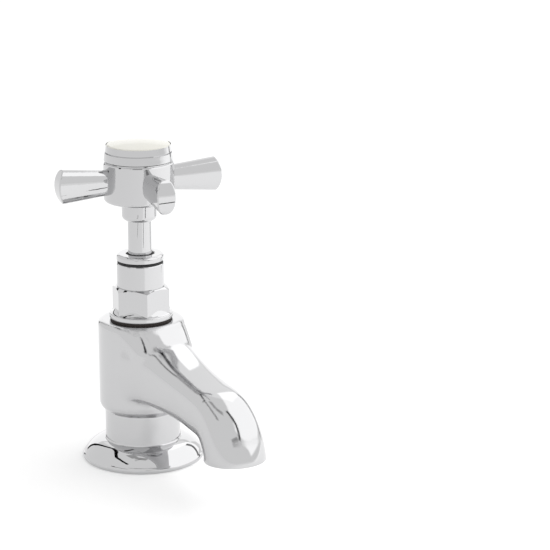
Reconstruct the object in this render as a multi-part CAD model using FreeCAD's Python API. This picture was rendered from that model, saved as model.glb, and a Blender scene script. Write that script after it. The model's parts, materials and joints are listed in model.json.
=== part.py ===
import FreeCAD, Part
import math
import os

from FreeCAD import Vector

# Cross handle pillar tap, screw-down pattern. Millimetres.
# Origin: centre of the underside of the base flange, on the deck. +Z up, spout along -Y.
# At rest the tap is closed, with the valve washer down on its seat.

# ---------------------------------------------------------------- driving dimensions
# base collar: the flange and the neck that stand on the deck
flange_radius = 25.0
flange_rim_height = 2.6
flange_rim_inset = 0.7         # how far the rim's edges lie inside its widest line
flange_crown_height = 8.4      # where the domed top runs into the neck
flange_crown_bulge = 1.2       # how far the dome stands above a straight cone
neck_radius = 15.45
neck_height = 21.1             # from the deck to the foot of the barrel
neck_foot_round = 0.6
neck_top_round = 0.4
collar_web = 4.0               # metal between the spigot socket and the seal recess
seal_recess_radius = 21.0
seal_recess_depth = 2.2

# body casting: barrel, sloped shoulder, spout, tail
barrel_radius = 17.6
barrel_height = 37.7
barrel_foot_round = 3.4
barrel_top_round = 1.6
shoulder_drop = 1.6            # from the top face down to where the slope starts
shoulder_height = 9.3          # how far down the slope reaches
shoulder_reach = 12.5          # its lower circle stands this far forward
shoulder_radius = 14.0
shoulder_inset = 0.02          # keeps its top circle just inside the barrel
spout_axis_above_neck = 21.9   # spout axis height at the barrel axis, above the neck
spout_slope = 10.3             # degrees below level
spout_straight = 33.2
spout_root_distance = 20.0     # from the tap axis, where the free spout begins
spout_root_half_width = 12.4
spout_root_top = 13.6          # from the axis up to its flattened top
spout_root_foot = 12.2         # from the axis down to its underside
spout_root_top_squareness = 2.9
spout_root_foot_squareness = 4.5
spout_root_flare = 6.0         # how much wider it spreads inside the barrel, to run into its sides
spout_root_skirt = 45.0        # how far its flanks deepen inside the barrel, for the arch below
spout_root_skirt_squareness = 9.0
spout_root_share = 0.8         # share of the straight run over which the root narrows
spout_mid_half_width = 10.6
spout_mid_top = 9.7
spout_mid_foot = 10.4
spout_mid_top_squareness = 3.6
spout_mid_foot_squareness = 3.0
spout_mouth_squareness = 2.0    # round
spout_bend_radius = 17.6
spout_end_angle = 87.0         # degrees below level
spout_mouth_radius = 12.45
spout_lip_round = 0.5
outlet_bore_radius = 9.3
outlet_bore_depth = 9.0
waterway_radius = 7.5
inlet_bore_radius = 6.4
tail_radius = 10.48            # plain envelope of a G1/2 thread
tail_length = 48.0             # below the deck
tail_chamfer = 1.0
barrel_foot_step = 1.7         # the flat ring under the barrel's rounded foot
barrel_foot_edge = 0.42        # its upright edge
spigot_radius = 13.0
spigot_length = 9.0
chamber_radius = 12.4
chamber_floor_above_neck = 11.9
seat_height = 3.0
seat_width = 1.7               # from the inlet bore's wall out to the seat's rim
seat_throat_radius = 5.6
seat_throat_length = 6.0

# headgear: bonnet, gland
bonnet_thread_radius = 10.48   # plain envelope of a G1/2 thread
bonnet_thread_length = 10.6
bonnet_skirt_radius = 12.95
bonnet_skirt_edge = 2.1
bonnet_skirt_height = 4.2
bonnet_skirt_round = 0.5
skirt_sweep_in = 0.65          # middle of the hollow sweep up to the hexagon, as shares
skirt_sweep_up = 0.35          # of its width and its height
bonnet_washer_radius = 12.5
bonnet_washer_thickness = 0.8
hex_across_flats = 21.0
hex_height = 8.8
hex_corner_angle = 10.0        # direction of one corner, degrees from +X
hex_chamfer_angle = 30.0
hex_chamfer_inset = 0.4
bonnet_collar_radius = 9.62
bonnet_collar_height = 9.65
gland_groove_height = 1.05
gland_groove_depth = 1.0
gland_nut_height = 2.8
gland_nut_round = 1.2
gland_thread_radius = 7.6
gland_thread_length = 4.4
packing_height = 4.5
packing_washer_thickness = 1.0
stem_port_flare = 1.1

# spindle and valve
stem_radius = 4.83
stem_visible_length = 13.7     # from the gland nut up to the handle boss, closed
spindle_thread_radius = 5.9    # plain envelope of the lifting thread
spindle_thread_length = 12.0
thread_runout = 1.0
spindle_lead = 2.5             # rise for each full turn
spindle_turns = 2.0            # from closed to open
spindle_square = 6.8           # across flats of the driving square
spindle_square_length = 15.2
jumper_plate_radius = 8.9
jumper_plate_thickness = 2.4
jumper_rim_height = 1.6
jumper_stem_radius = 3.0
jumper_stem_length = 9.0
valve_washer_radius = 8.1
valve_washer_thickness = 3.6
valve_stud_radius = 1.9
washer_nut_across_flats = 7.0
washer_nut_height = 2.6

# handle
handle_angle = -13.6           # direction of the first arm at rest, degrees from +X
arm_count = 4
boss_radius = 7.15
boss_height = 8.0
boss_round = 2.2
hub_radius = 14.25
hub_height = 16.1
hub_foot_round = 1.5
hub_recess_radius = 10.4
hub_recess_depth = 7.2
hub_top_chamfer = 0.35
arm_reach = 34.2               # from the tap axis to the crown of the arm's end
arm_root_height = 10.4
arm_root_width = 6.2
arm_end_height = 14.4
arm_end_width = 7.6
arm_crown = 2.2                # how far the curved end stands out
arm_edge_round = 0.5
arm_squareness = 2.5
arm_stud_radius = 2.5
arm_stud_length = 3.0
arm_axis_above_hub_foot = 8.4
handle_screw_radius = 2.0
handle_screw_length = 9.0
screw_head_radius = 4.2
screw_head_height = 2.8
screw_slot_width = 1.1
screw_slot_depth = 1.3
screw_washer_radius = 5.0
screw_washer_thickness = 0.8
ring_groove_height = 0.6
ring_groove_depth = 0.7
ring_band_radius = 14.0
ring_band_height = 3.5
ring_step_depth = 0.55
ring_step_height = 0.35
ring_lip_radius = 13.35
ring_lip_height = 2.55
ring_spigot_radius = 10.3
ring_spigot_length = 3.6
ring_bore_radius = 8.2
index_radius = 12.9
index_thickness = 2.4
index_crown = 1.6
index_edge_round = 0.6
cushion_section_radius = 0.9
cushion_ring_radius = 10.2

# fixing under the deck
deck_thickness = 15.0
clamp_washer_radius = 17.0
clamp_washer_thickness = 2.5
back_nut_across_flats = 27.0
back_nut_height = 8.0
base_seal_radius = 20.7

# drawing
edge_break = 0.3               # small chamfer on turned edges
overrun = 0.01                 # keeps a cutting shape's edge just outside what it cuts
oval_points = 24               # points on a sculpted section
root_stations = (0.36, 0.45, 0.55, 0.7, 1.0)        # where the spout's sections stand, as
straight_stations = (0.25, 0.5, 0.8)                # shares of its run inside the barrel, of
bend_stations = (0.15, 0.45, 0.75, 1.0)             # its straight run and of its bend

# clearances
slip_clearance = 0.10          # on the radius, parts that are pushed together
thread_clearance = 0.08        # on the radius, plain envelopes of mating threads
running_clearance = 0.06       # on the radius, parts that turn or slide
seat_clearance = 0.05          # valve washer to seat when closed

# ---------------------------------------------------------------- levels worked out from them
barrel_top = neck_height + barrel_height
spigot_bottom = neck_height - spigot_length
chamber_floor = neck_height + chamber_floor_above_neck
seat_level = chamber_floor + seat_height
seat_radius = inlet_bore_radius + seat_width
bonnet_bottom = barrel_top - bonnet_thread_length
bonnet_foot = barrel_top + bonnet_washer_thickness
skirt_top = bonnet_foot + bonnet_skirt_height
hex_top = skirt_top + hex_height
collar_top = hex_top + bonnet_collar_height
gland_nut_foot = collar_top + gland_groove_height
gland_top = gland_nut_foot + gland_nut_height
packing_top = collar_top - gland_thread_length
packing_bottom = packing_top - packing_height
packing_floor = packing_bottom - packing_washer_thickness
boss_bottom = gland_top + stem_visible_length
hub_foot = boss_bottom + boss_height
hub_top = hub_foot + hub_height
arm_level = hub_foot + arm_axis_above_hub_foot
recess_floor = hub_top - hub_recess_depth
ring_foot = hub_top + ring_groove_height
band_top = ring_foot + ring_band_height
lip_foot = band_top + ring_step_height
lip_top = lip_foot + ring_lip_height
index_bottom = lip_top - index_thickness
washer_bottom = seat_level + seat_clearance
plate_bottom = washer_bottom + valve_washer_thickness
plate_top = plate_bottom + jumper_plate_thickness
spindle_bottom = plate_top + seat_clearance
spindle_thread_top = spindle_bottom + spindle_thread_length
square_top = boss_bottom + spindle_square_length
spindle_travel = spindle_lead * spindle_turns
spout_fall = math.radians(spout_slope)
spout_root_run = spout_root_distance / math.cos(spout_fall)
spout_bend_run = spout_root_run + spout_straight
spout_end_run = spout_bend_run + spout_bend_radius * (math.radians(spout_end_angle) - spout_fall)


# ---------------------------------------------------------------- helpers
def turned(points, arcs=()):
    """A solid turned about +Z from (radius, height) points.

    arcs lists the points that are the middle of an arc through their two neighbours."""
    places = [Vector(radius, 0, height) for radius, height in points]
    places.append(places[0])
    edges = []
    i = 0
    while i < len(places) - 1:
        if i + 1 in arcs:
            edges.append(Part.Arc(places[i], places[i + 1], places[i + 2]).toShape())
            i += 2
        else:
            edges.append(Part.makeLine(places[i], places[i + 1]))
            i += 1
    return Part.Face(Part.Wire(edges)).revolve(Vector(0, 0, 0), Vector(0, 0, 1), 360)


def quarter(centre_radius, centre_height, size, angle):
    """A point on a small arc in the turning plane, angle degrees from outward."""
    turn = math.radians(angle)
    return centre_radius + size * math.cos(turn), centre_height + size * math.sin(turn)


def between(start, end, share):
    return start + (end - start) * share


def disc(radius, bottom, top):
    return Part.makeCylinder(radius, top - bottom, Vector(0, 0, bottom))


def ring(outer, inner, bottom, top):
    return disc(outer, bottom, top).cut(disc(inner, bottom, top))


def prism(across_flats, sides, bottom, top, corner_angle=0.0):
    """An upright prism with a regular base."""
    corner = across_flats / 2 / math.cos(math.pi / sides)
    points = []
    for k in range(sides):
        turn = math.radians(corner_angle + 360.0 * k / sides)
        points.append(Vector(corner * math.cos(turn), corner * math.sin(turn), bottom))
    points.append(points[0])
    return Part.Face(Part.makePolygon(points)).extrude(Vector(0, 0, top - bottom))


def chamfered_hex(across_flats, bottom, top, both_ends=False, corner_angle=0.0):
    """A hexagon whose corners are turned off at the top, or at both ends."""
    corner = across_flats / math.sqrt(3) + overrun
    flat_radius = across_flats / 2 - hex_chamfer_inset
    drop = (corner - flat_radius) * math.tan(math.radians(hex_chamfer_angle))
    foot = [(0, bottom), (corner, bottom)]
    if both_ends:
        foot = [(0, bottom), (flat_radius, bottom), (corner, bottom + drop)]
    blank = turned(foot + [(corner, top - drop), (flat_radius, top), (0, top)])
    return prism(across_flats, 6, bottom, top, corner_angle).common(blank)


def spline_loop(points):
    """A smooth closed wire through the points."""
    curve = Part.BSplineCurve()
    curve.interpolate(points, PeriodicFlag=True)
    return Part.Wire(curve.toShape())


def oval(centre, sideways, upward, half_width, top, foot):
    """A closed oval wire about centre.

    top and foot each give that half's height and its squareness; over 2 fills its corners."""
    points = []
    for k in range(oval_points):
        turn = 2 * math.pi * (k + 0.5) / oval_points
        half_height, squareness = top if math.sin(turn) > 0 else foot
        across = math.copysign(abs(math.cos(turn)) ** (2 / squareness), math.cos(turn))
        along = math.copysign(abs(math.sin(turn)) ** (2 / squareness), math.sin(turn))
        points.append(centre + sideways * (half_width * across) + upward * (half_height * along))
    return spline_loop(points)


def on_spout(run):
    """The place on the spout's axis, a run from the barrel axis, and the way the spout points."""
    start = neck_height + spout_axis_above_neck
    angle = spout_fall
    straight = min(run, spout_bend_run)
    distance = straight * math.cos(spout_fall)
    height = start - straight * math.sin(spout_fall)
    if run > spout_bend_run:
        angle += (run - spout_bend_run) / spout_bend_radius
        distance += spout_bend_radius * (math.sin(angle) - math.sin(spout_fall))
        height += spout_bend_radius * (math.cos(angle) - math.cos(spout_fall))
    return Vector(0, -distance, height), Vector(0, -math.cos(angle), -math.sin(angle))


# ---------------------------------------------------------------- body casting and base
def build_spout_skin():
    """The outside of the spout: squared ovals that narrow from the root and open to a round mouth."""
    runs = [between(0, spout_root_run, share) for share in root_stations]
    runs += [between(spout_root_run, spout_bend_run, share) for share in straight_stations]
    runs += [between(spout_bend_run, spout_end_run, share) for share in bend_stations]
    sections = []
    for run in runs:
        centre, ahead = on_spout(run)
        narrowed = (run - spout_root_run) / (spout_straight * spout_root_share)
        widening = (1 - min(1.0, max(0.0, narrowed))) ** 2
        opening = max(0.0, (run - spout_bend_run) / (spout_end_run - spout_bend_run))
        inside = max(0.0, 1 - run / spout_root_run)
        rounding = 1 - (1 - opening) ** 2
        half_width = between(spout_mid_half_width, spout_mouth_radius, opening)
        half_width = between(half_width, spout_root_half_width, widening)
        half_width += spout_root_flare * inside
        top_height = between(spout_mid_top, spout_mouth_radius, opening)
        top_height = between(top_height, spout_root_top, widening)
        foot_height = between(spout_mid_foot, spout_mouth_radius, opening)
        foot_height = between(foot_height, spout_root_foot, widening)
        foot_height += spout_root_skirt * inside**3
        top_squareness = between(spout_mid_top_squareness, spout_mouth_squareness, rounding)
        top_squareness = between(top_squareness, spout_root_top_squareness, widening)
        foot_squareness = between(spout_mid_foot_squareness, spout_mouth_squareness, rounding)
        foot_squareness = between(foot_squareness, spout_root_foot_squareness, widening)
        deepening = min(1.0, 2 * inside)
        foot_squareness = between(foot_squareness, spout_root_skirt_squareness, deepening)
        sideways = Vector(1, 0, 0)
        upward = ahead.cross(sideways)
        top = (top_height, top_squareness)
        foot = (foot_height, foot_squareness)
        sections.append(oval(centre, sideways, upward, half_width, top, foot))
    skirt_foot = neck_height + barrel_foot_edge
    below = disc(spout_root_distance, 0, skirt_foot)
    return Part.makeLoft(sections, True, False).cut(below)


def build_shoulder():
    """The slope from the barrel's top edge forward to the root of the spout."""
    upper = barrel_top - shoulder_drop
    lower = barrel_top - shoulder_height
    foot = neck_height + spout_axis_above_neck
    upper_circle = Part.makeCircle(barrel_radius - shoulder_inset, Vector(0, 0, upper))
    lower_circle = Part.makeCircle(shoulder_radius, Vector(0, -shoulder_reach, lower))
    slope = Part.makeLoft([Part.Wire(lower_circle), Part.Wire(upper_circle)], True, True)
    post = Part.makeCylinder(shoulder_radius, lower - foot, Vector(0, -shoulder_reach, foot))
    return slope.fuse(post)


def build_barrel():
    """The upright barrel with its rounded foot and top edge, the spigot and the tail."""
    foot_centre = (barrel_radius - barrel_foot_round, neck_height + barrel_foot_round)
    top_centre = (barrel_radius - barrel_top_round, barrel_top - barrel_top_round)
    barrel = turned(
        [
            (0, neck_height),
            (foot_centre[0] + barrel_foot_step, neck_height),
            (foot_centre[0] + barrel_foot_step, neck_height + barrel_foot_edge),
            quarter(*foot_centre, barrel_foot_round, -45),
            (barrel_radius, foot_centre[1]),
            (barrel_radius, top_centre[1]),
            quarter(*top_centre, barrel_top_round, 45),
            (top_centre[0], barrel_top),
            (0, barrel_top),
        ],
        arcs=(3, 6),
    )
    spigot = disc(spigot_radius, spigot_bottom, neck_height)
    tail = turned(
        [
            (0, -tail_length),
            (tail_radius - tail_chamfer, -tail_length),
            (tail_radius, -tail_length + tail_chamfer),
            (tail_radius, spigot_bottom),
            (0, spigot_bottom),
        ]
    )
    return barrel.fuse([spigot, tail])


def build_waterways():
    """What is cut out of the casting: inlet, seat throat, chamber, thread bore, passage, outlet."""
    throat_foot = seat_level - seat_throat_length
    inlet = disc(inlet_bore_radius, -tail_length, throat_foot)
    throat = disc(seat_throat_radius, throat_foot, seat_level)
    chamber = disc(chamber_radius, chamber_floor, bonnet_bottom)
    chamber = chamber.cut(disc(seat_radius, chamber_floor, seat_level))
    thread_bore = disc(bonnet_thread_radius + thread_clearance, bonnet_bottom, barrel_top)
    first = chamber_radius / 2
    start, ahead = on_spout(first)
    bend, _ = on_spout(spout_bend_run)
    middle, _ = on_spout(between(spout_bend_run, spout_end_run, 0.5))
    mouth, outward = on_spout(spout_end_run)
    route = Part.Wire([Part.makeLine(start, bend), Part.Arc(bend, middle, mouth).toShape()])
    profile = Part.Wire(Part.makeCircle(waterway_radius, start, ahead))
    passage = route.makePipeShell([profile], True, False)
    outlet = Part.makeCylinder(
        outlet_bore_radius, outlet_bore_depth * 2, mouth - outward * outlet_bore_depth, outward
    )
    return [inlet, throat, chamber, thread_bore, passage, outlet]


def build_body_casting():
    skin = build_barrel().fuse([build_shoulder(), build_spout_skin()])
    mouth, _ = on_spout(spout_end_run)
    lip_edges = []
    for face in skin.Faces:
        if (face.CenterOfMass - mouth).Length < spout_mouth_radius / 10:
            lip_edges += face.Edges
    skin = skin.makeFillet(spout_lip_round, lip_edges)
    return skin.cut(build_waterways()).removeSplitter()


def build_base_collar():
    """The flange on the deck and the neck above it, turned in one."""
    crown_start = (flange_radius - flange_rim_inset, flange_rim_height)
    crown_end = (neck_radius + neck_foot_round, flange_crown_height)
    slope = math.atan2(crown_end[1] - crown_start[1], crown_start[0] - crown_end[0])
    crown_middle = (
        between(crown_start[0], crown_end[0], 0.5) + flange_crown_bulge * math.sin(slope),
        between(crown_start[1], crown_end[1], 0.5) + flange_crown_bulge * math.cos(slope),
    )
    web_top = seal_recess_depth + collar_web
    foot_round = quarter(
        neck_radius + neck_foot_round, flange_crown_height + neck_foot_round, neck_foot_round, 225
    )
    return turned(
        [
            (tail_radius + slip_clearance, seal_recess_depth),
            (seal_recess_radius, seal_recess_depth),
            (seal_recess_radius, 0),
            (flange_radius - flange_rim_inset, 0),
            (flange_radius, flange_rim_height / 2),
            crown_start,
            crown_middle,
            crown_end,
            foot_round,
            (neck_radius, flange_crown_height + neck_foot_round),
            (neck_radius, neck_height - neck_top_round),
            quarter(neck_radius - neck_top_round, neck_height - neck_top_round, neck_top_round, 45),
            (neck_radius - neck_top_round, neck_height),
            (spigot_radius + slip_clearance, neck_height),
            (spigot_radius + slip_clearance, web_top),
            (tail_radius + slip_clearance, web_top),
        ],
        arcs=(4, 6, 8, 11),
    )


def build_base_seal():
    return ring(base_seal_radius, tail_radius + slip_clearance, 0, seal_recess_depth)


def build_clamp_washer():
    top = -deck_thickness
    return ring(clamp_washer_radius, tail_radius + slip_clearance, top - clamp_washer_thickness, top)


def build_back_nut():
    top = -deck_thickness - clamp_washer_thickness
    bottom = top - back_nut_height
    nut = chamfered_hex(back_nut_across_flats, bottom, top, both_ends=True)
    return nut.cut(disc(tail_radius + thread_clearance, bottom, top))


# ---------------------------------------------------------------- headgear
def build_bonnet():
    """Skirt, hexagon and collar outside; lifting thread, stem bore and packing box inside."""
    edge_top = bonnet_foot + bonnet_skirt_edge
    round_size = bonnet_skirt_round
    outside = turned(
        [
            (0, bonnet_bottom),
            (bonnet_thread_radius - tail_chamfer, bonnet_bottom),
            (bonnet_thread_radius, bonnet_bottom + tail_chamfer),
            (bonnet_thread_radius, bonnet_foot),
            (bonnet_skirt_radius - round_size, bonnet_foot),
            quarter(bonnet_skirt_radius - round_size, bonnet_foot + round_size, round_size, -45),
            (bonnet_skirt_radius, bonnet_foot + round_size),
            (bonnet_skirt_radius, edge_top - round_size),
            quarter(bonnet_skirt_radius - round_size, edge_top - round_size, round_size, 45),
            (bonnet_skirt_radius - round_size, edge_top),
            (
                between(bonnet_skirt_radius, hex_across_flats / 2, skirt_sweep_in),
                between(edge_top, skirt_top, skirt_sweep_up),
            ),
            (hex_across_flats / 2, skirt_top),
            (bonnet_collar_radius, hex_top),
            (bonnet_collar_radius, collar_top - edge_break),
            (bonnet_collar_radius - edge_break, collar_top),
            (0, collar_top),
        ],
        arcs=(5, 8, 10),
    )
    hexagon = chamfered_hex(hex_across_flats, edge_top, hex_top, corner_angle=hex_corner_angle)
    lifting_bore = disc(
        spindle_thread_radius + thread_clearance,
        bonnet_bottom,
        spindle_thread_top + spindle_travel + thread_runout,
    )
    stem_bore = disc(stem_radius + running_clearance, bonnet_bottom, packing_floor)
    packing_box = disc(gland_thread_radius + thread_clearance, packing_floor, collar_top)
    return outside.fuse(hexagon).cut([lifting_bore, stem_bore, packing_box]).removeSplitter()


def build_bonnet_washer():
    return ring(
        bonnet_washer_radius, bonnet_thread_radius + thread_clearance, barrel_top, bonnet_foot
    )


def build_gland_nut():
    """The nut that presses the packing down, with a shadow groove under its head."""
    bore = stem_radius + running_clearance
    groove_radius = bonnet_collar_radius - gland_groove_depth
    return turned(
        [
            (bore, packing_top),
            (gland_thread_radius, packing_top),
            (gland_thread_radius, collar_top),
            (groove_radius, collar_top),
            (groove_radius, gland_nut_foot),
            (bonnet_collar_radius - edge_break, gland_nut_foot),
            (bonnet_collar_radius, gland_nut_foot + edge_break),
            (bonnet_collar_radius, gland_top - gland_nut_round),
            quarter(
                bonnet_collar_radius - gland_nut_round, gland_top - gland_nut_round,
                gland_nut_round, 45,
            ),
            (bonnet_collar_radius - gland_nut_round, gland_top),
            (bore + stem_port_flare, gland_top),
            (bore, gland_top - stem_port_flare),
        ],
        arcs=(8,),
    )


def build_gland_packing():
    return ring(gland_thread_radius, stem_radius + running_clearance, packing_bottom, packing_top)


def build_packing_washer():
    return ring(gland_thread_radius, stem_radius + running_clearance, packing_floor, packing_bottom)


def build_spindle():
    """Lifting thread, plain stem and driving square, bored below for the jumper's stem."""
    thread = turned(
        [
            (0, spindle_bottom),
            (spindle_thread_radius - edge_break, spindle_bottom),
            (spindle_thread_radius, spindle_bottom + edge_break),
            (spindle_thread_radius, spindle_thread_top - edge_break),
            (spindle_thread_radius - edge_break, spindle_thread_top),
            (0, spindle_thread_top),
        ]
    )
    stem = disc(stem_radius, spindle_thread_top, boss_bottom)
    square = prism(spindle_square, 4, boss_bottom, square_top, handle_angle + 45)
    jumper_bore = disc(
        jumper_stem_radius + running_clearance, spindle_bottom,
        plate_top + jumper_stem_length + seat_clearance,
    )
    screw_hole = disc(
        handle_screw_radius + thread_clearance, recess_floor - handle_screw_length - edge_break,
        square_top,
    )
    return thread.fuse([stem, square]).cut([jumper_bore, screw_hole]).removeSplitter()


# ---------------------------------------------------------------- valve
def build_jumper_valve():
    """The plate that carries the washer: a stem above, a rim round the washer, a stud below."""
    plate = disc(jumper_plate_radius, plate_bottom, plate_top)
    rim_inside = valve_washer_radius + slip_clearance
    rim = ring(jumper_plate_radius, rim_inside, plate_bottom - jumper_rim_height, plate_bottom)
    stem = disc(jumper_stem_radius, plate_top, plate_top + jumper_stem_length)
    stud_bottom = washer_bottom - washer_nut_height - edge_break
    stud = disc(valve_stud_radius, stud_bottom, plate_bottom)
    return plate.fuse([rim, stem, stud]).removeSplitter()


def build_valve_washer():
    return ring(
        valve_washer_radius, valve_stud_radius + slip_clearance, washer_bottom, plate_bottom
    )


def build_washer_nut():
    bottom = washer_bottom - washer_nut_height
    nut = chamfered_hex(washer_nut_across_flats, bottom, washer_bottom)
    return nut.cut(disc(valve_stud_radius + thread_clearance, bottom, washer_bottom))


# ---------------------------------------------------------------- handle
def build_handle_hub():
    """The drum with its boss below, a recess above, and a square socket for the spindle."""
    boss_centre = (boss_radius - boss_round, boss_bottom + boss_round)
    foot_centre = (hub_radius - hub_foot_round, hub_foot + hub_foot_round)
    drum = turned(
        [
            (0, boss_bottom),
            (boss_centre[0], boss_bottom),
            quarter(*boss_centre, boss_round, -45),
            (boss_radius, boss_centre[1]),
            (boss_radius, hub_foot),
            (foot_centre[0], hub_foot),
            quarter(*foot_centre, hub_foot_round, -45),
            (hub_radius, foot_centre[1]),
            (hub_radius, hub_top - hub_top_chamfer),
            (hub_radius - hub_top_chamfer, hub_top),
            (hub_recess_radius, hub_top),
            (hub_recess_radius, recess_floor),
            (0, recess_floor),
        ],
        arcs=(2, 6),
    )
    socket = prism(
        spindle_square + 2 * slip_clearance, 4, boss_bottom, recess_floor, handle_angle + 45
    )
    holes = []
    for k in range(arm_count):
        holes.append(along_arm(k, arm_stud_radius + thread_clearance, hub_radius))
    return drum.cut([socket] + holes).removeSplitter()


def arm_direction(k):
    turn = math.radians(handle_angle + 360.0 * k / arm_count)
    return Vector(math.cos(turn), math.sin(turn), 0)


def along_arm(k, radius, end):
    """A round bar on an arm's axis, from the bottom of its hole in the hub."""
    ahead = arm_direction(k)
    start = hub_radius - arm_stud_length
    return Part.makeCylinder(
        radius, end - start, ahead * start + Vector(0, 0, arm_level), ahead
    )


def build_handle_arm(k):
    """A flattened bar that flares outward to a curved end, with a stud that enters the hub."""
    ahead = arm_direction(k)
    upward = Vector(0, 0, 1)
    sideways = ahead.cross(upward)
    sections = []
    for distance in (0, arm_reach):
        share = (distance - hub_radius) / (arm_reach - hub_radius)
        half_width = between(arm_root_width, arm_end_width, share) / 2
        half_height = between(arm_root_height, arm_end_height, share) / 2
        half = (half_height, arm_squareness)
        centre = ahead * distance + upward * arm_level
        sections.append(oval(centre, sideways, upward, half_width, half, half))
    bar = Part.makeLoft(sections, True, True)
    half_end = arm_end_height / 2
    crown_radius = (half_end**2 + arm_crown**2) / (2 * arm_crown)
    crown_centre = ahead * (arm_reach - crown_radius) + upward * arm_level
    crown = Part.makeCylinder(
        crown_radius, 2 * arm_end_width, crown_centre - sideways * arm_end_width, sideways
    )
    reach_box = Part.makeCylinder(
        arm_end_height, arm_reach - crown_radius, upward * arm_level, ahead
    )
    bar = bar.common(crown.fuse(reach_box))
    bar = bar.cut(disc(hub_radius, hub_foot - hub_height, hub_top + hub_height))
    end_edges = []
    for face in bar.Faces:
        if face.CenterOfMass.dot(ahead) > arm_reach - arm_crown:
            end_edges += face.Edges
    bar = bar.makeFillet(arm_edge_round, end_edges)
    return bar.fuse(along_arm(k, arm_stud_radius, hub_radius + arm_stud_length)).removeSplitter()


def build_handle_screw():
    """A slotted screw down the middle of the hub into the spindle."""
    head_bottom = recess_floor + screw_washer_thickness
    head_top = head_bottom + screw_head_height
    centre = (screw_head_radius - edge_break, head_top - edge_break)
    screw = turned(
        [
            (0, recess_floor - handle_screw_length),
            (handle_screw_radius, recess_floor - handle_screw_length),
            (handle_screw_radius, head_bottom),
            (screw_head_radius, head_bottom),
            (screw_head_radius, centre[1]),
            (centre[0], head_top),
            (0, head_top),
        ]
    )
    slot = Part.makeBox(
        2 * screw_head_radius, screw_slot_width, screw_slot_depth,
        Vector(-screw_head_radius, -screw_slot_width / 2, head_top - screw_slot_depth),
    )
    return screw.cut(slot)


def build_screw_washer():
    top = recess_floor + screw_washer_thickness
    return ring(screw_washer_radius, handle_screw_radius + slip_clearance, recess_floor, top)


def build_index_ring():
    """The banded ring above the hub that holds the ceramic index."""
    channel_outer = cushion_ring_radius + cushion_section_radius
    channel_inner = cushion_ring_radius - cushion_section_radius
    channel_floor = index_bottom - 2 * cushion_section_radius
    recess = index_radius + slip_clearance
    return turned(
        [
            (ring_bore_radius, hub_top - ring_spigot_length),
            (hub_recess_radius - slip_clearance, hub_top - ring_spigot_length),
            (hub_recess_radius - slip_clearance, hub_top),
            (ring_band_radius - ring_groove_depth, hub_top),
            (ring_band_radius - ring_groove_depth, ring_foot),
            (ring_band_radius - edge_break, ring_foot),
            (ring_band_radius, ring_foot + edge_break),
            (ring_band_radius - edge_break, band_top),
            (ring_lip_radius - ring_step_depth, band_top),
            (ring_lip_radius - ring_step_depth, lip_foot),
            (ring_lip_radius, lip_foot),
            (ring_lip_radius - edge_break, lip_top),
            (recess, lip_top),
            (recess, index_bottom),
            (channel_outer, index_bottom),
            (channel_outer, channel_floor),
            (channel_inner, channel_floor),
            (channel_inner, index_bottom),
            (ring_bore_radius, index_bottom),
        ]
    )


def build_index_cushion():
    """The soft ring under the index."""
    level = index_bottom - cushion_section_radius
    return Part.makeTorus(cushion_ring_radius, cushion_section_radius, Vector(0, 0, level))


def build_ceramic_index():
    """The domed ceramic disc on top."""
    edge_top = lip_top + index_edge_round / 2
    crown_top = lip_top + index_crown
    crown_start = index_radius - index_edge_round
    sphere = (crown_start**2 + (crown_top - edge_top) ** 2) / (2 * (crown_top - edge_top))
    half = crown_start / 2
    middle_height = crown_top - sphere + math.sqrt(sphere**2 - half**2)
    return turned(
        [
            (0, index_bottom),
            (index_radius, index_bottom),
            (index_radius, edge_top - index_edge_round),
            (crown_start, edge_top),
            (half, middle_height),
            (0, crown_top),
        ],
        arcs=(4,),
    )


# ---------------------------------------------------------------- all of them
def build_all():
    pieces = {
        "body_casting": build_body_casting(),
        "base_collar": build_base_collar(),
        "base_seal": build_base_seal(),
        "clamp_washer": build_clamp_washer(),
        "back_nut": build_back_nut(),
        "bonnet": build_bonnet(),
        "bonnet_washer": build_bonnet_washer(),
        "gland_nut": build_gland_nut(),
        "gland_packing": build_gland_packing(),
        "packing_washer": build_packing_washer(),
        "jumper_valve": build_jumper_valve(),
        "valve_washer": build_valve_washer(),
        "washer_nut": build_washer_nut(),
        "spindle": build_spindle(),
        "handle_hub": build_handle_hub(),
        "handle_screw": build_handle_screw(),
        "screw_washer": build_screw_washer(),
        "index_ring": build_index_ring(),
        "index_cushion": build_index_cushion(),
        "ceramic_index": build_ceramic_index(),
    }
    for k in range(arm_count):
        pieces[f"handle_arm_{k + 1}"] = build_handle_arm(k)
    return pieces


os.makedirs("parts", exist_ok=True)
for name, shape in build_all().items():
    shape.exportStep(f"parts/{name}.step")
    solids = len(shape.Solids)
    print(f"{name}: {solids} solid(s), valid {shape.isValid()}, {shape.Volume:.1f} mm3")
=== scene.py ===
import json
import math

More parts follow.
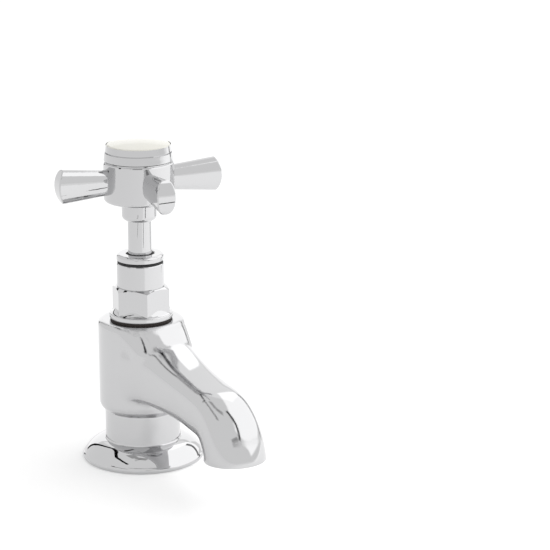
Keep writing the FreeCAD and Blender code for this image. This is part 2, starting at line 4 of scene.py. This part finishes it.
import bmesh
import bpy
from mathutils import Euler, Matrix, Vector


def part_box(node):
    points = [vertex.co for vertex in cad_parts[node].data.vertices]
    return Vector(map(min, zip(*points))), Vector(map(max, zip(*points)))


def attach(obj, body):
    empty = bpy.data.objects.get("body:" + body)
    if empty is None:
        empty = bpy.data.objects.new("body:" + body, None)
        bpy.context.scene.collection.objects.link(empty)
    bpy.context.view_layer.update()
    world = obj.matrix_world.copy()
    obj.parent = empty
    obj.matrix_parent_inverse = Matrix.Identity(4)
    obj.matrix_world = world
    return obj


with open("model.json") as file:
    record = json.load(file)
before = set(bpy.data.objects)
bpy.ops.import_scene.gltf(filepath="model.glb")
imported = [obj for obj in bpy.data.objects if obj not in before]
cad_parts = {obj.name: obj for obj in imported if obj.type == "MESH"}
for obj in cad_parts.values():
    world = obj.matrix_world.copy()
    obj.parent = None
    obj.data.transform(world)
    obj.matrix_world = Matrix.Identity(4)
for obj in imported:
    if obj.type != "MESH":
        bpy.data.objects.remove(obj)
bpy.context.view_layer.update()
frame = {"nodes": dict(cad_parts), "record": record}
nodes = frame["nodes"]
print("tap loaded:", len(nodes), "solids")


# sRGB hex to the linear values that shaders take
def linearColour(hexText):
    channels = [int(hexText[i : i + 2], 16) / 255 for i in (1, 3, 5)]
    linear = [c / 12.92 if c <= 0.04045 else ((c + 0.055) / 1.055) ** 2.4 for c in channels]
    return (*linear, 1.0)


# settings go to the sockets they name, by name or number, and otherwise to the node itself
def addNode(tree, kind, settings=None, links=None):
    node = tree.nodes.new(kind)
    for key, value in (settings or {}).items():
        if isinstance(key, int) or key in node.inputs:
            node.inputs[key].default_value = value
        else:
            setattr(node, key, value)
    for key, source in (links or {}).items():
        tree.links.new(source, node.inputs[key])
    return node


# each value is a number or another node's output
def addMath(tree, operation, *values):
    settings, links = {"operation": operation}, {}
    for i, value in enumerate(values):
        if isinstance(value, bpy.types.NodeSocket):
            links[i] = value
        else:
            settings[i] = value
    return addNode(tree, "ShaderNodeMath", settings, links).outputs["Value"]


# cloudy noise that fills the solid, with features about one size across
def addNoise(tree, place, size, detail, roughness=0.5):
    settings = {"Scale": 1 / size, "Detail": detail, "Roughness": roughness}
    return addNode(tree, "ShaderNodeTexNoise", settings, {"Vector": place}).outputs["Fac"]


def addBump(tree, height, depth, normal=None):
    links = {"Height": height}
    if normal is not None:
        links["Normal"] = normal
    bump = addNode(tree, "ShaderNodeBump", {"Strength": 1.0, "Distance": depth}, links)
    return bump.outputs["Normal"]


def mixColours(tree, amount, first, second):
    settings = {"data_type": "RGBA", 6: linearColour(first), 7: linearColour(second)}
    return addNode(tree, "ShaderNodeMix", settings, {0: amount}).outputs[2]


def startMaterial(name):
    material = bpy.data.materials.new(name)
    material.use_nodes = True
    material.node_tree.nodes.clear()
    return material, material.node_tree


# where on the piece a point is, in metres from the piece's own origin
def objectPlace(tree):
    return addNode(tree, "ShaderNodeTexCoord").outputs["Object"]


def endMaterial(tree, surface):
    addNode(tree, "ShaderNodeOutputMaterial", {}, {"Surface": surface})


def addSurface(tree, settings, links):
    shader = addNode(tree, "ShaderNodeBsdfPrincipled", settings, links)
    endMaterial(tree, shader.outputs["BSDF"])


# chrome plate over polished brass: a neutral near mirror, with a slow ripple left by the buffing
# wheel and a faint haze where water has dried
chromePlate = {
    "colour": "#C5C5C6",
    "roughness": 0.035,
    "hazeRoughness": 0.075,
    "hazeSize": 0.030,
    "hazeRange": (0.45, 0.75),  # the noise at which the haze starts and is full
    "rippleSize": 0.011,
    "rippleDepth": 0.0000030,
}

# the casting is plated as the rest; its joins were blended by hand before plating, and below
# the deck the plate stops and the thread is bare brass
castingFinish = {
    "blendRadius": 0.003,
    "blendSamples": 8,
    "threadPitch": 0.001814,
    "threadDepth": 0.00116,
    "threadTop": -0.0004,
    "bareBrass": "#B8955A",
    "bareRoughness": 0.30,
}


# the plate's colour, roughness and normal, and those of bare brass with a helical thread below
def bareThread(tree, place, plateRoughness, plateNormal):
    axes = addNode(tree, "ShaderNodeSeparateXYZ", {}, {"Vector": place})
    x, y, z = (axes.outputs[axis] for axis in "XYZ")
    below = addMath(tree, "LESS_THAN", z, castingFinish["threadTop"])
    share = addMath(tree, "DIVIDE", addMath(tree, "ARCTAN2", y, x), 2 * math.pi)
    turns = addMath(tree, "MULTIPLY_ADD", z, 1 / castingFinish["threadPitch"], share)
    ridges = addMath(tree, "MULTIPLY", addMath(tree, "PINGPONG", turns, 0.5), below)
    rough = addNode(
        tree,
        "ShaderNodeMix",
        {"data_type": "FLOAT", 3: castingFinish["bareRoughness"]},
        {0: below, 2: plateRoughness},
    )
    return {
        "Base Color": mixColours(tree, below, chromePlate["colour"], castingFinish["bareBrass"]),
        "Roughness": rough.outputs[0],
        # doubled, because the ridges rise only to one half
        "Normal": addBump(tree, ridges, 2 * castingFinish["threadDepth"], plateNormal),
    }


def makeChromePlate(name, isCasting=False):
    material, tree = startMaterial(name)
    place = objectPlace(tree)
    hazeStart, hazeFull = chromePlate["hazeRange"]
    dulling = addNode(
        tree,
        "ShaderNodeMapRange",
        {
            "From Min": hazeStart,
            "From Max": hazeFull,
            "To Min": chromePlate["roughness"],
            "To Max": chromePlate["hazeRoughness"],
        },
        {"Value": addNoise(tree, place, chromePlate["hazeSize"], detail=4.0, roughness=0.55)},
    ).outputs["Result"]
    joins = None
    if isCasting:
        joins = addNode(
            tree,
            "ShaderNodeBevel",
            {"samples": castingFinish["blendSamples"], "Radius": castingFinish["blendRadius"]},
        ).outputs["Normal"]
    ripple = addNoise(tree, place, chromePlate["rippleSize"], detail=1.0, roughness=0.4)
    normal = addBump(tree, ripple, chromePlate["rippleDepth"], joins)
    links = {"Roughness": dulling, "Normal": normal}
    if isCasting:
        links = bareThread(tree, place, dulling, normal)
    settings = {"Base Color": linearColour(chromePlate["colour"]), "Metallic": 1.0}
    addSurface(tree, settings, links)
    return material


# brass straight from the lathe: yellow metal, with fine rings and dull patches of tarnish
turnedBrass = {
    "fresh": "#C9A665",
    "tarnished": "#A5824A",
    "roughness": 0.27,
    "ringSpacing": 0.00035,  # the tool leaves about 0.1 mm, drawn coarser so that it shows
    "ringWobble": 0.4,
    "ringDepth": 0.000004,
    "tarnishSize": 0.006,
}


def makeTurnedBrass():
    material, tree = startMaterial("turned brass")
    place = objectPlace(tree)
    rings = addNode(
        tree,
        "ShaderNodeTexWave",
        {
            "wave_type": "RINGS",
            "rings_direction": "Z",
            "Scale": math.pi / 10 / turnedBrass["ringSpacing"],  # a wave is pi / 10 at scale 1
            "Distortion": turnedBrass["ringWobble"],
            "Detail": 1.0,
        },
        {"Vector": place},
    ).outputs["Fac"]
    tarnish = addNoise(tree, place, turnedBrass["tarnishSize"], detail=5.0)
    addSurface(
        tree,
        {"Metallic": 1.0, "Roughness": turnedBrass["roughness"]},
        {
            "Base Color": mixColours(tree, tarnish, turnedBrass["fresh"], turnedBrass["tarnished"]),
            "Normal": addBump(tree, rings, turnedBrass["ringDepth"]),
        },
    )
    return material


# zinc plate on pressed or turned steel: pale blue-grey, satin, with a soft crystal mottle
zincPlate = {
    "light": "#BFC2C5",
    "dark": "#A3A7AB",
    "roughness": 0.36,
    "crystalSize": 0.0012,
    "crystalDepth": 0.000003,
}


def makeZincPlate():
    material, tree = startMaterial("zinc plated steel")
    place = objectPlace(tree)
    crystals = addNode(
        tree,
        "ShaderNodeTexVoronoi",
        {"Scale": 1 / zincPlate["crystalSize"], "Randomness": 1.0},
        {"Vector": place},
    ).outputs["Distance"]
    addSurface(
        tree,
        {"Metallic": 1.0, "Roughness": zincPlate["roughness"]},
        {
            "Base Color": mixColours(tree, crystals, zincPlate["light"], zincPlate["dark"]),
            "Normal": addBump(tree, crystals, zincPlate["crystalDepth"]),
        },
    )
    return material


# moulded nitrile rubber: near black and matt, with the fine grain of its mould
nitrileRubber = {
    "colour": "#1B1B1C",
    "dusty": "#2A2A2B",
    "roughness": 0.72,
    "grainSize": 0.0004,
    "grainDepth": 0.00002,
}

# pressed vulcanised fibre: a dark brown-grey washer, matt, with short flecks of paper fibre
pressedFibre = {
    "colour": "#2B2624",
    "dusty": "#3A3330",
    "roughness": 0.85,
    "grainSize": 0.0008,
    "grainDepth": 0.00003,
}

# waxed cord pressed into the gland: a pale greasy ring with the cord's lay still showing
waxedCord = {
    "colour": "#CFC9B6",
    "dusty": "#B3AB95",
    "roughness": 0.55,
    "grainSize": 0.0011,
    "grainDepth": 0.00008,
}


def makeGrainy(name, finish):
    material, tree = startMaterial(name)
    place = objectPlace(tree)
    grain = addNoise(tree, place, finish["grainSize"], detail=3.0)
    addSurface(
        tree,
        {"Roughness": finish["roughness"]},
        {
            "Base Color": mixColours(tree, grain, finish["colour"], finish["dusty"]),
            "Normal": addBump(tree, grain, finish["grainDepth"]),
        },
    )
    return material


# glazed earthenware: a warm white body under clear glaze, which pools a little and dimples
glazedCeramic = {
    "colour": "#E9E8E1",
    "pooled": "#E3E1D6",
    "roughness": 0.14,
    "ior": 1.52,
    "poolSize": 0.007,
    "dimpleSize": 0.0022,
    "dimpleDepth": 0.000004,
}


def makeGlazedCeramic():
    material, tree = startMaterial("glazed ceramic")
    place = objectPlace(tree)
    pools = addNoise(tree, place, glazedCeramic["poolSize"], detail=2.0)
    dimples = addNoise(tree, place, glazedCeramic["dimpleSize"], detail=1.0)
    addSurface(
        tree,
        {"Roughness": glazedCeramic["roughness"], "IOR": glazedCeramic["ior"]},
        {
            "Base Color": mixColours(tree, pools, glazedCeramic["colour"], glazedCeramic["pooled"]),
            "Normal": addBump(tree, dimples, glazedCeramic["dimpleDepth"]),
        },
    )
    return material


finishes = {
    "polished_chrome": makeChromePlate("chrome plate"),
    "plain_brass": makeTurnedBrass(),
    "plain_steel": makeZincPlate(),
    "black_rubber": makeGrainy("nitrile rubber", nitrileRubber),
    "dark_fibre": makeGrainy("pressed fibre", pressedFibre),
    "gland_packing": makeGrainy("waxed cord", waxedCord),
    "white_ceramic": makeGlazedCeramic(),
}
for part in frame["record"]["subparts"]:
    for materialSlot in nodes[part["node"]].material_slots:
        materialSlot.material = finishes[part["material_slot"]]
castingPlate = makeChromePlate("chrome plated casting", isCasting=True)
for materialSlot in nodes["body_casting"].material_slots:
    materialSlot.material = castingPlate
print("finishes made:", len(finishes) + 1)


# two black rubber rings on the headgear, painted shade that fills two dark gaps: one in the flare
# where the stem enters the gland nut, and one in the groove under the nut's head. Bottom and top
# are from the nut's top.
paintedShadeRings = {
    "stem_flare_painted_shade": {
        "inner": 0.00486,
        "outer": 0.00585,
        "bottom": -0.00095,
        "top": -0.00022,
        "round": 0.00025,
    },
    "nut_groove_painted_shade": {
        "inner": 0.00855,
        "outer": 0.00925,
        "bottom": -0.00378,
        "top": -0.00287,
        "round": 0.0003,
    },
}
ringDetail = {"stepsAround": 96, "stepsOverRim": 4, "sameWithin": 0.000001}


# a black ring of painted shade, turned about the tap's axis and rounded on its top rim
def makePaintedShadeRing(name, ring):
    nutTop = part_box("gland_nut")[1][2]
    low, high = nutTop + ring["bottom"], nutTop + ring["top"]
    inner, outer = ring["inner"], ring["outer"]
    same = ringDetail["sameWithin"]
    turning = bmesh.new()
    corners = ((inner, low), (outer, low), (outer, high), (inner, high))
    verts = [turning.verts.new((radius, 0.0, height)) for radius, height in corners]
    profile = [turning.edges.new(pair) for pair in zip(verts, verts[1:] + verts[:1])]
    bmesh.ops.spin(
        turning,
        geom=verts + profile,
        cent=(0, 0, 0),
        axis=(0, 0, 1),
        angle=2 * math.pi,
        steps=ringDetail["stepsAround"],
        use_merge=True,
    )
    bmesh.ops.remove_doubles(turning, verts=turning.verts, dist=same)
    rims = []
    for edge in turning.edges:
        start, end = (vert.co for vert in edge.verts)
        isLevel = abs(start.xy.length - end.xy.length) < same
        if isLevel and min(start.z, end.z) > high - same:
            rims.append(edge)
    bmesh.ops.bevel(
        turning,
        geom=rims,
        affect="EDGES",
        offset=ring["round"],
        segments=ringDetail["stepsOverRim"],
        profile=0.5,  # a quarter circle
        material=-1,
    )
    bmesh.ops.recalc_face_normals(turning, faces=turning.faces)
    mesh = bpy.data.meshes.new(name)
    turning.to_mesh(mesh)
    turning.free()
    mesh.shade_smooth()
    mesh.materials.append(finishes["black_rubber"])
    piece = bpy.data.objects.new(name, mesh)
    bpy.context.scene.collection.objects.link(piece)
    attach(piece, "tap_body")


for shadeRingName, ring in paintedShadeRings.items():
    makePaintedShadeRing(shadeRingName, ring)
print("painted shade rings made:", len(paintedShadeRings))


# the camera stands where the photographer stood
cameraSetup = {
    "place": (-0.515806, -0.828086, 0.346474),
    "heading": 54.8874,  # degrees from +X that it looks towards
    "tilt": -15.4879,
    "roll": -0.159,
    "lens": 163.636,
    "sensor": 36.0,
    "near": 0.05,
}


def placeCamera():
    lens = bpy.data.cameras.new("studio camera")
    lens.sensor_width = cameraSetup["sensor"]
    lens.lens = cameraSetup["lens"]
    lens.clip_start = cameraSetup["near"]
    camera = bpy.data.objects.new("studio camera", lens)
    camera.location = cameraSetup["place"]
    pitch = math.radians(90 + cameraSetup["tilt"])
    camera.rotation_euler = Euler((pitch, 0.0, math.radians(cameraSetup["heading"] - 90)))
    camera.rotation_euler.rotate_axis("Z", math.radians(cameraSetup["roll"]))
    bpy.context.scene.collection.objects.link(camera)
    bpy.context.scene.camera = camera


placeCamera()
print("camera placed")


# directions in the studio: azimuth 0 is from the tap towards the camera and grows to the
# camera's right, and elevation is from level
studio = {"centre": (0.0, -0.02, 0.07), "towardsCamera": -121.92}


def studioDirection(azimuth, elevation):
    turn = math.radians(studio["towardsCamera"] + azimuth)
    rise = math.radians(elevation)
    level = math.cos(rise)
    return Vector((level * math.cos(turn), level * math.sin(turn), math.sin(rise)))


def addStudioPiece(name, shape, material):
    mesh = bpy.data.meshes.new(name)
    shape.to_mesh(mesh)
    shape.free()
    mesh.materials.append(material)
    piece = bpy.data.objects.new(name, mesh)
    bpy.context.scene.collection.objects.link(piece)
    return piece


# 1 for rays that show a surface, straight or in metal or glass, and 0 for rays that light others
def seenDirectly(tree):
    rays = addNode(tree, "ShaderNodeLightPath").outputs
    gloss = addMath(tree, "MAXIMUM", rays["Is Camera Ray"], rays["Is Glossy Ray"])
    return addMath(tree, "MAXIMUM", gloss, rays["Is Transmission Ray"])


# white paper that the tap stands on, with its fine tooth
paperFloor = {
    "halfWidth": 3.0,
    "colour": "#F6F6F6",
    "lift": 0.22,  # how much whiter it is seen than it is lit
    "toothSize": 0.0009,
    "toothDepth": 0.00002,
}


def makeFloor():
    material, tree = startMaterial("white paper")
    place = objectPlace(tree)
    tooth = addNoise(tree, place, paperFloor["toothSize"], detail=2.0)
    paper = addNode(
        tree,
        "ShaderNodeBsdfDiffuse",
        {"Color": linearColour(paperFloor["colour"])},
        {"Normal": addBump(tree, tooth, paperFloor["toothDepth"])},
    )
    lift = addMath(tree, "MULTIPLY", seenDirectly(tree), paperFloor["lift"])
    glow = addNode(tree, "ShaderNodeEmission", {}, {"Strength": lift})
    links = {0: paper.outputs["BSDF"], 1: glow.outputs["Emission"]}
    endMaterial(tree, addNode(tree, "ShaderNodeAddShader", {}, links).outputs["Shader"])
    sheet = bmesh.new()
    bmesh.ops.create_grid(sheet, x_segments=1, y_segments=1, size=paperFloor["halfWidth"])
    addStudioPiece("paper floor", sheet, material)


makeFloor()


# cards and strips round the tap that only the chrome sees. Each follows a path of studio
# directions, so many degrees wide, at its distance from the tap or from a centre of its own.
# The two with a centre stand close to the casting, below what the handle's arms mirror, and are no
# part of the tent: they put painted dark reflection lines on the casting's chrome.
studioCards = {
    "tent seam": {  # where the tent's left and back walls are zipped together
        "path": (
            (-150, 0),
            (-151, 25),
            (-153, 46),
            (-137, 55),
            (-118, 57),
            (-91, 55),
            (-60, 52),
            (-39, 46),
        ),
        "width": 4.6,
        "distance": 1.5,
        "colour": "#0A0A0A",
    },
    # a near-black strip 45 mm from the casting, seen only in the chrome: a painted dark reflection
    # line
    "painted dark reflection strip": {
        "path": ((-35, 35), (-31, 39), (-24, 49), (-17, 60), (-16, 63)),
        "centre": (-0.0105, -0.0163, 0.0551),
        "width": 2.2,
        "distance": 0.045,
        "colour": "#0A0A0A",
    },
    # a grey strip 60 mm from the casting, seen only in the chrome: a painted dark reflection line
    # along the spout
    "painted grey reflection strip": {
        "path": ((35, 23), (44, 37), (55, 51), (72, 66), (102, 76)),
        "centre": (-0.0037, -0.0706, 0.0342),
        "width": 6.0,
        "distance": 0.06,
        "colour": "#3A3A3A",
    },
    "tent roof": {
        "path": ((-120, 73), (-52, 76), (15, 73)),
        "width": 10.0,
        "distance": 1.5,
        "colour": "#B8B8B8",
    },
    "camera front": {
        "path": ((3, 24), (30, 31)),
        "width": 8.0,
        "distance": 1.4,
        "colour": "#B0B0B0",
    },
    "right flag": {
        "path": ((121, -12), (132, 0), (141, 12), (148, 22)),
        "width": 6.0,
        "distance": 0.3,
        "colour": "#8A8A8A",
    },
}
cardSteps = 6  # flat steps from one direction of a card's path to the next


def cardMaterial(name, colour):
    material, tree = startMaterial(name)
    glow = addNode(tree, "ShaderNodeEmission", {"Color": linearColour(colour)})
    endMaterial(tree, glow.outputs["Emission"])
    return material


def showOnlyInGloss(piece):
    piece.visible_camera = False
    piece.visible_diffuse = False
    piece.visible_transmission = False
    piece.visible_volume_scatter = False
    piece.visible_shadow = False


def makeCard(name, card):
    sheet = bmesh.new()
    for place, following in zip(card["path"], card["path"][1:]):
        start = studioDirection(*place)
        end = studioDirection(*following)
        axis = start.cross(end).normalized()
        shift = axis * card["distance"] * math.tan(math.radians(card["width"] / 2))
        edge = [sheet.verts.new(start * card["distance"] + side * shift) for side in (-1, 1)]
        line = sheet.edges.new(edge)
        bmesh.ops.spin(
            sheet,
            geom=edge + [line],
            cent=(0, 0, 0),
            axis=axis,
            angle=start.angle(end),
            steps=cardSteps,
        )
    centre = Vector(card.get("centre", studio["centre"]))
    bmesh.ops.translate(sheet, verts=sheet.verts, vec=centre)
    showOnlyInGloss(addStudioPiece(name, sheet, cardMaterial(name, card["colour"])))


for cardName, card in studioCards.items():
    makeCard(cardName, card)
print("paper and tent made")


# soft light from the right and from behind the tap; glow is how bright each looks in the chrome.
# The two behind only show in the chrome, and throw no shadow of the tap on the paper.
softboxes = {
    "right softbox": {
        "azimuth": 102,
        "elevation": 37,
        "distance": 1.2,
        "width": 2.45,
        "height": 1.45,
        "glow": 0.62,
        "lightsPaper": True,
    },
    "back softbox": {
        "azimuth": 181,
        "elevation": 10,
        "distance": 1.5,
        "width": 1.50,
        "height": 0.75,
        "glow": 0.42,
        "lightsPaper": False,
    },
    "high back softbox": {
        "azimuth": 174,
        "elevation": 43,
        "distance": 1.5,
        "width": 1.15,
        "height": 0.85,
        "glow": 0.20,
        "lightsPaper": False,
    },
}

# a pool of light on the paper to the right of the tap, which its upright sides reflect
lightPool = {
    "azimuth": 98,
    "away": 0.90,
    "up": 1.60,
    "spread": 58.7,
    "soft": 0.04,
    "power": 30.0,
    "bulb": 0.005,
}


def addLamp(name, lamp, place, target):
    piece = bpy.data.objects.new(name, lamp)
    piece.location = place
    piece.rotation_euler = (target - place).to_track_quat("-Z", "Y").to_euler()
    piece.visible_camera = False
    bpy.context.scene.collection.objects.link(piece)
    return piece


def makeSoftbox(name, box):
    lamp = bpy.data.lights.new(name, "AREA")
    lamp.shape = "RECTANGLE"
    lamp.size = box["width"]
    lamp.size_y = box["height"]
    lamp.energy = box["glow"] * math.pi * box["width"] * box["height"]
    centre = Vector(studio["centre"])
    place = centre + studioDirection(box["azimuth"], box["elevation"]) * box["distance"]
    addLamp(name, lamp, place, centre).visible_diffuse = box["lightsPaper"]


def makeLightPool():
    lamp = bpy.data.lights.new("light pool", "SPOT")
    lamp.energy = lightPool["power"]
    lamp.spot_size = math.radians(lightPool["spread"])
    lamp.spot_blend = lightPool["soft"]
    lamp.shadow_soft_size = lightPool["bulb"]
    lamp.use_shadow = False  # its edge runs past the tap, and would draw the tap on the paper
    foot = studioDirection(lightPool["azimuth"], 0) * lightPool["away"]
    place = foot + Vector((0, 0, lightPool["up"]))
    addLamp("light pool", lamp, place, foot).visible_glossy = False


for boxName, box in softboxes.items():
    makeSoftbox(boxName, box)
makeLightPool()

# the tent itself: white where it is seen or mirrored, a little less as a lamp
tentLight = {"seen": 1.0, "asLamp": 0.82}


def makeTentLight():
    world = bpy.data.worlds.new("light tent")
    world.use_nodes = True
    tree = world.node_tree
    tree.nodes.clear()
    strength = addNode(
        tree,
        "ShaderNodeMapRange",
        {"To Min": tentLight["asLamp"], "To Max": tentLight["seen"]},
        {"Value": seenDirectly(tree)},
    )
    white = addNode(
        tree,
        "ShaderNodeBackground",
        {"Color": (1.0, 1.0, 1.0, 1.0)},
        {"Strength": strength.outputs["Result"]},
    )
    addNode(tree, "ShaderNodeOutputWorld", {}, {"Surface": white.outputs["Background"]})
    bpy.context.scene.world = world


makeTentLight()
bpy.context.scene.view_settings.view_transform = "Standard"
print("lights placed:", len(softboxes) + 1)
